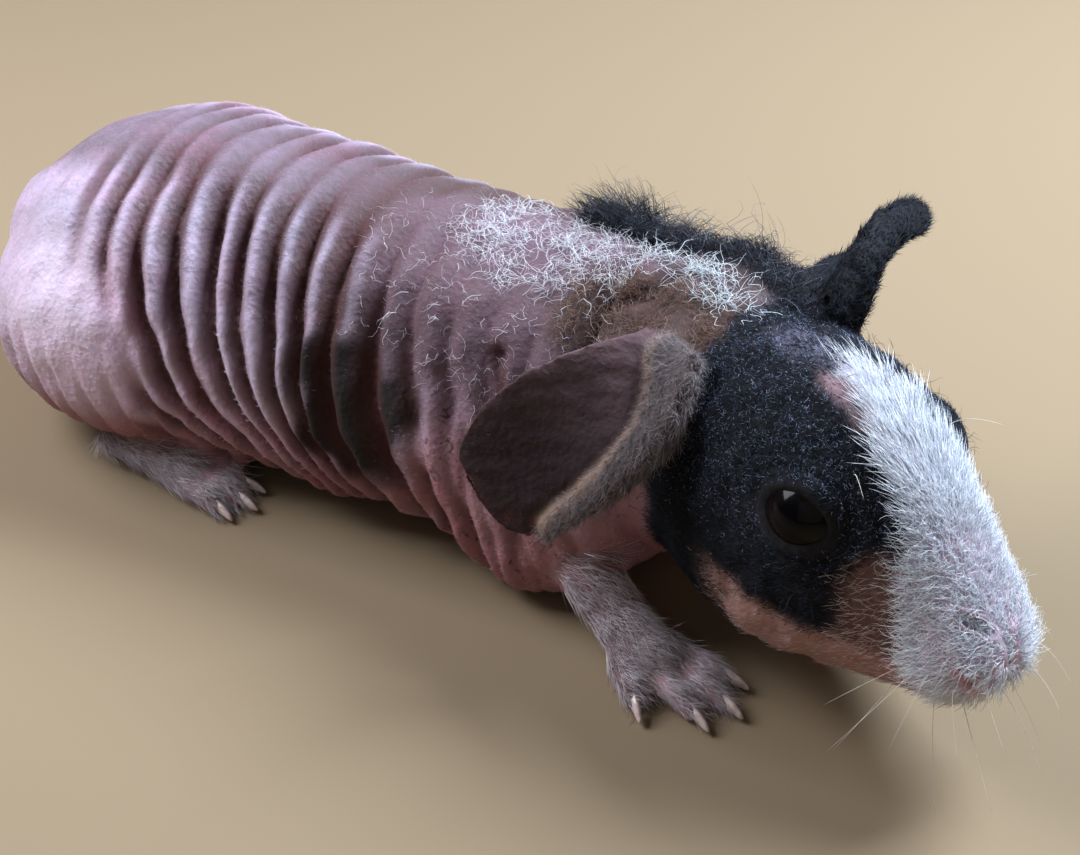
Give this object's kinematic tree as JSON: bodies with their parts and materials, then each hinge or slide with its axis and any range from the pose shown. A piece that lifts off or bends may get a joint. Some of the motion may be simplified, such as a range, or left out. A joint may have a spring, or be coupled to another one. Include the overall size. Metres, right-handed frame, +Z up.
{
  "type": "skinny pig pup",
  "caption": "Newborn hairless guinea pig crouching flat on its belly, head turned to its right, with folded flank skin, drooping ears and small clawed feet.",
  "frame": {"origin": "middle of the bounding box, on the floor that the belly and the feet rest on", "axes": "+X towards the nose along the body, +Y to the animal's left, +Z up"},
  "size_m": [0.1158, 0.0508, 0.0354],
  "materials": {
    "body_skin": "soft bare skin, lilac pink, satin",
    "dark_skin": "blue-black skin under short hair, with a white blaze",
    "ear_skin": "thin grey-brown skin, satin",
    "foot_skin": "pink-brown skin with fine pale hair",
    "eye": "wet, glossy, near black",
    "claw": "pale pink horn, slightly glossy"
  },
  "bodies": {
    "root": {"hind_leg_right": "body_skin", "hind_leg_left": "body_skin", "torso": "body_skin", "neck": "body_skin", "head": "dark_skin", "eye_right": "eye", "ear_right": "ear_skin", "foreleg_right": "foot_skin", "fore_foot_right": "foot_skin", "fore_claw_right_1": "claw", "fore_claw_right_2": "claw", "fore_claw_right_3": "claw", "fore_claw_right_4": "claw", "hind_foot_right": "foot_skin", "hind_claw_right_1": "claw", "hind_claw_right_2": "claw", "hind_claw_right_3": "claw", "eye_left": "eye", "ear_left": "ear_skin", "foreleg_left": "foot_skin", "fore_foot_left": "foot_skin", "fore_claw_left_1": "claw", "fore_claw_left_2": "claw", "fore_claw_left_3": "claw", "fore_claw_left_4": "claw", "hind_foot_left": "foot_skin", "hind_claw_left_1": "claw", "hind_claw_left_2": "claw", "hind_claw_left_3": "claw"}
  },
  "joints": []
}
